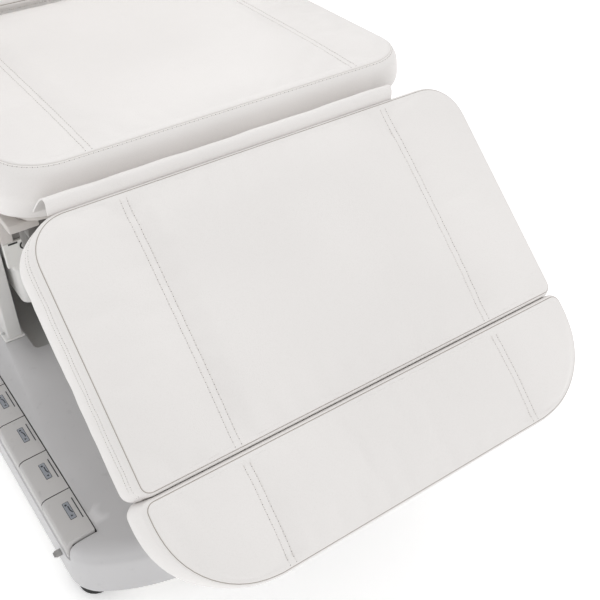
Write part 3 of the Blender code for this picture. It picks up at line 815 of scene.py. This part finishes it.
def flap_profile():
    """Across the gap, an arch from the seat's underside to the leg rest's top edge."""
    seat_side = BED @ Vector((0.0, 0.010, 0.690))
    leg_side = LEG @ Vector((0.0, 0.0036, -0.0070))
    above_seat = seat_side + Vector((0.0, -0.035, 0.035))
    above_leg = leg_side + Vector((0.0, -0.0086, 0.042))
    points = []
    for k in range(FLAP_STEPS + 1):
        t = k / FLAP_STEPS
        rest = 1.0 - t
        points.append(seat_side * rest ** 3 + above_seat * (3.0 * t * rest ** 2)
                      + above_leg * (3.0 * t * t * rest) + leg_side * t ** 3)
    return points


def flap_lift(x, across, along):
    """How far the vinyl stands off its smooth arch: sag, waves and one dimple."""
    sag = 0.0014 * math.sin(math.pi * across) ** 2
    wave = 0.0007 * math.sin(x * 41.0 + 1.0) + 0.0004 * math.sin(x * 97.0 + along * 3.0)
    dimple = 0.0026 * math.exp(-((x + 0.215) / 0.014) ** 2 - ((along - 0.85) / 0.12) ** 2)
    return math.sin(math.pi * along) * (wave - sag) - dimple


def build_flap():
    """Loose vinyl band that closes the gap between the seat and the leg rest."""
    profile = flap_profile()
    wide = len(profile)
    points, faces = [], []
    for i in range(FLAP_COLUMNS + 1):
        across = i / FLAP_COLUMNS
        x = FLAP_LEFT + (FLAP_RIGHT - FLAP_LEFT) * across
        for k, base in enumerate(profile):
            lift = flap_lift(x, across, k / FLAP_STEPS)
            points.append((x, base.y - 0.5 * lift, base.z + lift))
    for i in range(FLAP_COLUMNS):
        for k in range(FLAP_STEPS):
            a = i * wide + k
            faces.append((a, a + 1, a + wide + 1, a + wide))
    flap = piece("flap_vinyl", points, faces, [VINYL], "lift")
    flap.parent = None
    del flap["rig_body"]
    modify(flap, "SOLIDIFY", thickness=FLAP_THICKNESS, offset=0.0)
    apply_modifiers(flap)
    shade(flap, 60.0)
    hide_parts("leg_flap")
    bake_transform(flap)


# ---- base

# Height, half width, front, rear, and the radii of the front and rear corners.
SHELL_LEVELS = [
    (0.0300, 0.385, -0.136, 1.000, 0.070, 0.150),
    (0.0950, 0.385, -0.136, 1.000, 0.070, 0.150),
    (0.1080, 0.384, -0.130, 0.994, 0.064, 0.146),
    (0.1180, 0.381, -0.122, 0.986, 0.054, 0.140),
    (0.1250, 0.374, -0.110, 0.974, 0.045, 0.130),
    (0.1290, 0.360, -0.082, 0.958, 0.050, 0.115),
    (0.1340, 0.336, -0.022, 0.938, 0.090, 0.100),
    (0.1430, 0.312, 0.070, 0.905, 0.180, 0.085),
    (0.1580, 0.295, 0.200, 0.800, 0.240, 0.060),
]
LEVEL_STEPS = 4
BOW_RADIUS = 0.33
BOW_TURN = 33.0
WALL = 0.006
HOLLOW_HALF = 0.327
PEDAL_START = -0.042
PEDAL_PITCH = 0.1017
PEDALS_PER_SIDE = 6
PEDALS_FRONT = PEDAL_START - MIDDLE_Y
PEDALS_REAR = PEDALS_FRONT + PEDALS_PER_SIDE * PEDAL_PITCH
RECESS_INNER = 0.3300


def slopes_through(values):
    """Slopes of a smooth curve through values, flat wherever they turn back."""
    secants = [b - a for a, b in zip(values, values[1:])]
    inner = [2.0 * a * b / (a + b) if a * b > 0.0 else 0.0 for a, b in zip(secants, secants[1:])]
    return [secants[0]] + inner + [secants[-1]]


def eased(rows, steps):
    """Rows of numbers joined by smooth curves that never overshoot a row."""
    slopes = list(zip(*[slopes_through(column) for column in zip(*rows)]))
    result = [rows[0]]
    for k in range(len(rows) - 1):
        for step in range(1, steps + 1):
            t = step / steps
            rise = 3 * t ** 2 - 2 * t ** 3
            weights = (1 - rise, t ** 3 - 2 * t ** 2 + t, rise, t ** 3 - t ** 2)
            ends = zip(rows[k], slopes[k], rows[k + 1], slopes[k + 1])
            result.append(tuple(sum(w * value for w, value in zip(weights, four)) for four in ends))
    return result


def turned(cx, cy, radius, first, last, steps):
    """Points on an arc between two angles in degrees."""
    angles = [math.radians(first + (last - first) * k / steps) for k in range(steps + 1)]
    return [(cx + radius * math.cos(angle), cy + radius * math.sin(angle)) for angle in angles]


def base_plan(half, front, rear, front_radius, rear_radius):
    """Plan of the base on the frame: a bowed front, tight front corners and round rear corners."""
    turn = math.radians(BOW_TURN)
    reach = BOW_RADIUS - front_radius
    front, rear = front - MIDDLE_Y, rear - MIDDLE_Y
    bow_x, bow_y = half - front_radius - reach * math.sin(turn), front + BOW_RADIUS
    corner_x, corner_y = half - front_radius, bow_y - reach * math.cos(turn)
    points = turned(-corner_x, corner_y, front_radius, 180.0, 270.0 - BOW_TURN, 12)
    points += turned(-bow_x, bow_y, BOW_RADIUS, 270.0 - BOW_TURN, 270.0, 10)[1:]
    points += turned(bow_x, bow_y, BOW_RADIUS, 270.0, 270.0 + BOW_TURN, 10)
    points += turned(corner_x, corner_y, front_radius, 270.0 + BOW_TURN, 360.0, 12)[1:]
    points += turned(half - rear_radius, rear - rear_radius, rear_radius, 0.0, 90.0, 14)
    points += turned(rear_radius - half, rear - rear_radius, rear_radius, 90.0, 180.0, 14)
    return points


def rounded_plan(x0, x1, y0, y1, radius, steps=14):
    """Rectangle with round corners, anticlockwise."""
    points = []
    for x, y, first in ((x0, y0, 180.0), (x1, y0, 270.0), (x1, y1, 0.0), (x0, y1, 90.0)):
        cx = x + radius if x == x0 else x - radius
        cy = y + radius if y == y0 else y - radius
        points += turned(cx, cy, radius, first, first + 90.0, steps)
    return points


def loft(name, loops, material):
    """A closed solid through loops of equal length, not yet riding on anything."""
    count = len(loops[0])
    points = [point for loop in loops for point in loop]
    faces = [tuple(reversed(range(count)))]
    for start in range(0, len(points) - count, count):
        for k in range(count):
            a, b = start + k, start + (k + 1) % count
            faces.append((a, b, b + count, a + count))
    faces.append(tuple(range(len(points) - count, len(points))))
    mesh = bpy.data.meshes.new(name)
    mesh.from_pydata(points, [], faces)
    mesh.materials.append(material)
    return placed(name, mesh)


def prism(name, outline, low, high, material):
    """A closed solid with that outline between two heights."""
    return loft(name, [[(x, y, z) for x, y in outline] for z in (low, high)], material)


def block(name, low, high, material, radius=0.0):
    """A straight block, whose upright edges may be round."""
    if radius:
        outline = rounded_plan(low[0], high[0], low[1], high[1], radius, 5)
    else:
        outline = [(low[0], low[1]), (high[0], low[1]), (high[0], high[1]), (low[0], high[1])]
    return prism(name, outline, low[2], high[2], material)


def side_block(name, side, inner, outer, y_ends, z_ends, material):
    """A block from one distance to another off the middle, on the given side."""
    x0, x1 = sorted((side * inner, side * outer))
    return block(name, (x0, y_ends[0], z_ends[0]), (x1, y_ends[1], z_ends[1]), material)


def deck_block(name, half, y_ends, z_ends, material, radius):
    """A block with round upright edges across the middle of the deck."""
    low, high = ((side * half, y - MIDDLE_Y, z) for side, y, z in zip((-1.0, 1.0), y_ends, z_ends))
    return block(name, low, high, material, radius)


def drop(made):
    """Remove a piece and its mesh."""
    mesh = made.data
    bpy.data.objects.remove(made)
    bpy.data.meshes.remove(mesh)


def cut_away(made, cutter):
    """Take the cutter out of the piece and drop it."""
    modify(made, "BOOLEAN", object=cutter, operation="DIFFERENCE")
    apply_modifiers(made)
    drop(cutter)


def hollow_loops(levels):
    """Inside of the base: straight walls, a step in under the pedals, then the same rise as outside."""
    loops = []
    for z, inset in ((0.020, WALL), (0.0855, WALL), (0.0860, 0.058)):
        outline = base_plan(0.385 - inset, -0.136 + WALL, 1.000 - WALL, 0.070 - WALL, 0.150 - WALL)
        loops.append([(x, y, z) for x, y in outline])
    for z, half, front, rear, front_radius, rear_radius in levels:
        half = min(half, HOLLOW_HALF) - WALL
        outline = base_plan(half, front + WALL, rear - WALL, front_radius - WALL, rear_radius)
        loops.append([(x, y, z - WALL) for x, y in outline])
    return loops


def build_shell():
    """The moulded base: bowed front, a recess for the pedals on each side, and the deck opening."""
    grey = SLOT_MATERIALS["base_shell"]
    levels = eased(SHELL_LEVELS, LEVEL_STEPS)
    loops = [[(x, y, level[0]) for x, y in base_plan(*level[1:])] for level in levels]
    shell = loft("base_shell_cover", loops, grey)
    above_pedals = levels[4 * LEVEL_STEPS:]
    cut_away(shell, loft("hollow", hollow_loops(above_pedals), grey))
    cut_away(shell, deck_block("opening", 0.2525, (0.395, 0.690), (0.10, 0.20), grey, 0.012))
    y_ends = (PEDALS_FRONT - 0.003, PEDALS_REAR + 0.003)
    for side in (-1.0, 1.0):
        cut_away(shell, side_block("recess", side, RECESS_INNER, 0.40, y_ends, (0.0915, 0.20), grey))
    break_edges(shell, 0.0012, 2)
    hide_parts("base_cover")
    attach(shell, "base")


def build_deck_tray():
    """An open tray under the deck opening, with a passage for the column."""
    grey = SLOT_MATERIALS["cover_grey"]
    tray = deck_block("deck_tray", 0.2505, (0.397, 0.688), (0.118, 0.150), grey, 0.010)
    cut_away(tray, deck_block("room", 0.2485, (0.399, 0.686), (0.122, 0.160), grey, 0.008))
    cut_away(tray, deck_block("passage", 0.095, (0.465, 0.615), (0.10, 0.14), grey, 0.008))
    break_edges(tray, 0.0006, 1)
    attach(tray, "base")


def screw(name, place, radius, body):
    """Pan head with a cross recess, facing up."""
    profile = ((0.30, 0.45), (0.62, 0.38), (0.88, 0.22), (1.0, 0.0), (1.0, -0.15))
    count, askew = 20, math.radians(45.0)
    points, faces = [place + Vector((0.0, 0.0, 0.46 * radius))], []
    for reach, height in profile:
        for k, turn in enumerate(circle(count)):
            sunk = 0.28 if reach < 0.5 and k % 5 == 0 else 0.0
            x, y = reach * math.cos(turn + askew), reach * math.sin(turn + askew)
            points.append(place + radius * Vector((x, y, height - sunk)))
    rings = [range(first, first + count) for first in range(1, len(points), count)]
    faces += [(0, 1 + k, 1 + (k + 1) % count) for k in range(count)]
    for above, below in zip(rings, rings[1:]):
        faces += belt(above, below)
    faces.append(tuple(reversed(rings[-1])))
    piece(name, points, faces, [STEEL], body)


def build_deck_screws():
    """Screws that hold the column cover's flange to the deck."""
    places = ((-0.289, 0.47), (-0.289, 0.69), (0.289, 0.47), (0.289, 0.69), (-0.15, 0.727), (0.15, 0.727))
    for number, (x, y) in enumerate(places):
        screw(f"deck_screw_{number + 1}", BED @ Vector((x, y, 0.1625)), 0.0042, "base")


# ---- pedals

LABEL_X = 0.3508
LABEL_AHEAD = 0.006
PEDAL_INNER_X = 0.3318
PEDAL_TOP = 0.1345
PEDAL_DROP, PEDAL_RUN = 0.0025, 0.0422
STROKE = 0.0019
# Strokes of each sign along its label, from one end to the other.
SIGN_STROKES = {
    "leg": ((0.0095, -0.0014, -0.0005, -0.0014), (-0.0005, -0.0014, -0.0065, -0.0036)),
    "back": ((0.0015, -0.0022, -0.0065, -0.0022), (0.0015, -0.0022, 0.0090, 0.0006)),
    "lift": ((0.0095, -0.0010, -0.0065, -0.0010), (0.0015, -0.0036, 0.0015, -0.0010)),
}


def bar(x0, y0, x1, y1):
    """A straight stroke between two points."""
    along = Vector((x1 - x0, y1 - y0)).normalized()
    side = Vector((-along.y, along.x)) * (STROKE / 2.0)
    return [(x0 - side.x, y0 - side.y), (x1 - side.x, y1 - side.y),
            (x1 + side.x, y1 + side.y), (x0 + side.x, y0 + side.y)]


def pictogram(function):
    """Outlines for each function: a head, a lying figure, and an arrow up or down."""
    part, way = function.split("_")
    head = [(0.0128 + 0.0020 * math.cos(turn), 0.0010 + 0.0020 * math.sin(turn)) for turn in circle(16)]
    arrow = [(-0.0145, -0.0018), (-0.0095, -0.0018), (-0.0120, 0.0022)]
    if way == "down":
        arrow = [(x, -y) for x, y in reversed(arrow)]
    return [head] + [bar(*ends) for ends in SIGN_STROKES[part]] + [arrow]


def plate(name, outline, low, high, material):
    """A thin plate with that outline, shaded smooth."""
    made = prism(name, outline, low, high, material)
    shade(made, 40.0)
    return made


def merged(name, parts):
    """Several pieces of one material as one piece."""
    mesh = bpy.data.meshes.new(name)
    mesh.materials.append(parts[0].data.materials[0])
    with edited(mesh) as work:
        for part in parts:
            work.from_mesh(part.data)
            drop(part)
    return placed(name, mesh)


def build_label(tail, body, function, side, middle):
    """A framed label with its sign, and a line along the inner side of the pedal."""
    frame_outline = rounded_plan(-0.0192, 0.0192, -0.0055, 0.0055, 0.0014, 5)
    film_outline = rounded_plan(-0.0184, 0.0184, -0.0047, 0.0047, 0.0010, 5)
    strokes = [prism(f"stroke_{number}", outline, 0.0006, 0.00085, INK)
               for number, outline in enumerate(pictogram(function))]
    line = block(f"pedal_line_{tail}", (-0.0240, -0.0009, -0.0004), (0.0240, 0.0009, 0.00028), INK)
    line.data.transform(Matrix.Translation((-0.0015, side * 0.0133, 0.0)))
    parts = [(plate(f"label_rim_{tail}", frame_outline, 0.0001, 0.0005, INK), "black_plastic"),
             (plate(f"label_{tail}", film_outline, 0.0002, 0.00065, LABEL), "pedal_grey"),
             (merged(f"pictogram_{tail}", strokes), "black_plastic"), (line, "black_plastic")]
    height = PEDAL_TOP - (LABEL_X - PEDAL_INNER_X) * PEDAL_DROP / PEDAL_RUN
    place = Matrix.Translation((side * LABEL_X, middle + LABEL_AHEAD, height))
    place = place @ Matrix.Rotation(side * math.atan2(PEDAL_DROP, PEDAL_RUN), 4, "Y")
    place = place @ Matrix.Rotation(math.radians(90.0), 4, "Z")
    for made, slot in parts:
        made.data.transform(place)
        attach(made, body)


def paint_gap_shade(pedal, side, first):
    """Painted shade: black the faces of a pedal that look into a gap, except the open front of the first
    one.
    """
    pedal.data.materials.append(RUBBER_AND_SHADE)
    for polygon in pedal.data.polygons:
        normal = polygon.normal
        into_gap = abs(normal.y) > 0.6 and not (first and normal.y < 0.0)
        if into_gap or normal.x * side < -0.6:
            polygon.material_index = 1


def build_pedals():
    """Six pedal caps on each side, each with its label."""
    functions = ("leg_down", "leg_up", "back_down", "back_up", "lift_down", "lift_up")
    for side_name, side in (("left", -1.0), ("right", 1.0)):
        for index, function in enumerate(functions):
            tail = f"{side_name}_{function}"
            pedal = soft_edges(f"pedal_{tail}", 0.0010)
            paint_gap_shade(pedal, side, index == 0)
            middle = PEDALS_FRONT + (index + 0.5) * PEDAL_PITCH
            build_label(tail, f"{tail}_pedal", function, side, middle)


# ---- metal and plastic parts

# How far the edges of each frame part are broken.
EDGE_WIDTHS = (
    (0.0030, "column_cover"), (0.0012, "column_skirt"), (0.0040, "lift_head"), (0.0015, "column_outer"),
    (0.0012, "column_inner"), (0.0015, "seat_rail_left seat_rail_right"),
    (0.0008, "leg_bracket_left leg_bracket_right back_bracket_left back_bracket_right"),
    (0.0010, "leg_rail_left leg_rail_right back_rail_left back_rail_right"),
    (0.0010, "leg_guide_upper leg_guide_lower back_guide"), (0.0012, "footrest_frame headrest_frame"),
    (0.0010, "leg_actuator back_actuator"), (0.0006, "leg_rod back_rod"),
    (0.0015, "arm_post_left arm_post_right"), (0.0012, "arm_bar_left arm_bar_right"),
    (0.0025, "foot_front_left foot_front_right foot_rear_left foot_rear_right"),
    (0.0012, "power_inlet"), (0.0008, "side_knob"), (0.0010, "base_chassis"),
    (0.0015, "seat_board leg_board footrest_board back_board"),
)
FINISH_OF = {"leg_actuator": ACTUATOR_AND_SHADE_GREY, "back_actuator": ACTUATOR_AND_SHADE_GREY, "seat_board": UNDER_TRAY,
             "footrest_board": UNDER_TRAY, "leg_board": UNDER_TRAY, "back_board": UNDER_TRAY,
             "side_knob": KNOB_GREY}


def build_hard_parts():
    """Every frame part keeps its shape and gets broken edges and its own finish."""
    for width, nodes in EDGE_WIDTHS:
        for node in nodes.split():
            soft_edges(node, width, FINISH_OF.get(node))


def ring(name, place, radius, thickness, material, body, slot):
    """A round eye that stands on edge and faces the foot end."""
    around, tube = 28, 10
    points, faces = [], []
    for turn in circle(around):
        out = Vector((math.cos(turn), 0.0, math.sin(turn)))
        for angle in circle(tube):
            depth = Vector((0.0, thickness * math.sin(angle), 0.0))
            points.append(place + out * (radius + thickness * math.cos(angle)) + depth)
    rings = [range(k * tube, (k + 1) * tube) for k in range(around)]
    for here, there in zip(rings, rings[1:] + rings[:1]):
        faces += belt(here, there)
    piece(name, points, faces, [material], body)


HEAD_FACE = (0.4000, 0.4077)
HEAD_WHITE = SLOT_MATERIALS["head_white"]
# Small blocks: name, distances off the middle (one if it crosses the middle), ends along the bed, heights,
# width and steps of the broken edges, material, body and slot.
BLOCKS = (
    ("head_fascia", (0.2620,), HEAD_FACE, (0.3500, 0.4020),
     0.0022, 3, HEAD_WHITE, "lift", "head_white"),
    # Painted shade: a thin dark grey panel stands for the shadowed recess in the head's front.
    ("head_opening_shade_panel", (0.2405,), (0.4062, 0.4076), (0.4024, 0.4960),
     0, 0, ACTUATOR_AND_SHADE_GREY, "lift", "black_plastic"),
    ("head_cheek", (0.2410, 0.2620), HEAD_FACE, (0.4024, 0.5450),
     0.0010, 2, UNDER_TRAY, "lift", "cover_grey"),
    # Painted shadow: thin black strips for the shadow gap along the fascia's top edge.
    ("head_gap_shadow_strip", (0.2350, 0.2520), (0.3995, 0.4006), (0.3972, 0.4004),
     0, 0, RUBBER_AND_SHADE, "lift", "foot_rubber"),
    ("seat_pan", (0.2720, 0.3150), (0.088, 0.530), (0.6180, 0.6312),
     0.0020, 3, UNDER_TRAY, "lift", "board"),
    # Painted shadow: thin black strips fill the gaps inside and in front of the pedals.
    ("pedal_gap_shadow_inner", (0.3302, 0.3314), (-0.0448, 0.5710), (0.0925, 0.1318),
     0, 0, RUBBER_AND_SHADE, "base", "foot_rubber"),
    ("pedal_gap_shadow_front", (0.3320, 0.3720), (-0.0448, -0.0425), (0.0925, 0.1225),
     0, 0, RUBBER_AND_SHADE, "base", "foot_rubber"),
)


def build_blocks():
    """The head's fascia and cheeks, the pans under the seat, and strips of painted shade: the head's
    opening, the gap by the fascia and the gaps round the pedals.
    """
    for name, off_middle, y_ends, heights, edge, steps, material, body, slot in BLOCKS:
        sides = (("", 1.0),) if len(off_middle) == 1 else (("_left", -1.0), ("_right", 1.0))
        y_ends = [y - MIDDLE_Y for y in y_ends]
        for ending, side in sides:
            inner, outer = off_middle if len(off_middle) == 2 else (-off_middle[0], off_middle[0])
            made = side_block(name + ending, side, inner, outer, y_ends, heights, material)
            if edge:
                break_edges(made, edge, steps)
            attach(made, body)


def build_eyes():
    """A black eye near each end of the head's fascia."""
    for name, side in (("left", -1.0), ("right", 1.0)):
        eye = BED @ Vector((side * 0.2245, 0.3992, 0.3895))
        ring(f"head_eye_{name}", eye, 0.0068, 0.0015, RUBBER_AND_SHADE, "lift", "foot_rubber")


# ---- studio

# Name, place, watts and width of each lamp.
LIGHTS = (
    ("key", (0.1, 0.2, 3.3), 24.0, 2.6),
    ("fill_front", (1.3, -2.9, 1.1), 5.5, 1.8),
    ("fill_back", (1.6, 2.6, 2.4), 10.0, 2.2),
)
LIGHT_TARGET = Vector((0.0, -0.2, 0.45))


def build_studio():
    """Pale floor, a bright even room, a large key from above and two fills."""
    bpy.ops.mesh.primitive_grid_add(x_subdivisions=8, y_subdivisions=8, size=80.0)
    floor = bpy.context.object
    floor.name = "floor"
    floor.data.materials.append(floor_paint())
    world = bpy.data.worlds.new("studio_world")
    world.use_nodes = True
    background = world.node_tree.nodes["Background"]
    background.inputs["Color"].default_value = (1.0, 1.0, 1.0, 1.0)
    background.inputs["Strength"].default_value = 0.76
    bpy.context.scene.world = world
    for name, place, power, size in LIGHTS:
        light = bpy.data.lights.new(name, "AREA")
        light.energy = power
        light.size = size
        lamp = placed(name, light)
        lamp.location = place
        aim = LIGHT_TARGET - Vector(place)
        lamp.rotation_euler = aim.to_track_quat("-Z", "Y").to_euler()
    bpy.context.scene.view_settings.view_transform = "Standard"


def build_camera():
    """The camera stands in front of the foot end, to the left and above."""
    azimuth, elevation, roll = (math.radians(angle) for angle in (-33.834, 38.475, -1.142))
    back = Vector((math.sin(azimuth) * math.cos(elevation), -math.cos(azimuth) * math.cos(elevation),
                   math.sin(elevation)))
    level = (-back).cross(Vector((0.0, 0.0, 1.0))).normalized()
    upright = level.cross(-back)
    right = level * math.cos(roll) + upright * math.sin(roll)
    up = -level * math.sin(roll) + upright * math.cos(roll)
    lens = bpy.data.cameras.new("camera")
    lens.lens = 53.96
    lens.sensor_width = 36.0
    camera = placed("camera", lens)
    camera.matrix_world = Matrix((right, up, back)).transposed().to_4x4()
    camera.location = (-0.5546, -1.2842, 1.3035)
    bpy.context.scene.camera = camera


build_camera()
build_studio()
build_hard_parts()
build_blocks()
build_eyes()
build_shell()
build_deck_tray()
build_deck_screws()
build_pedals()
build_cushions()
build_flap()
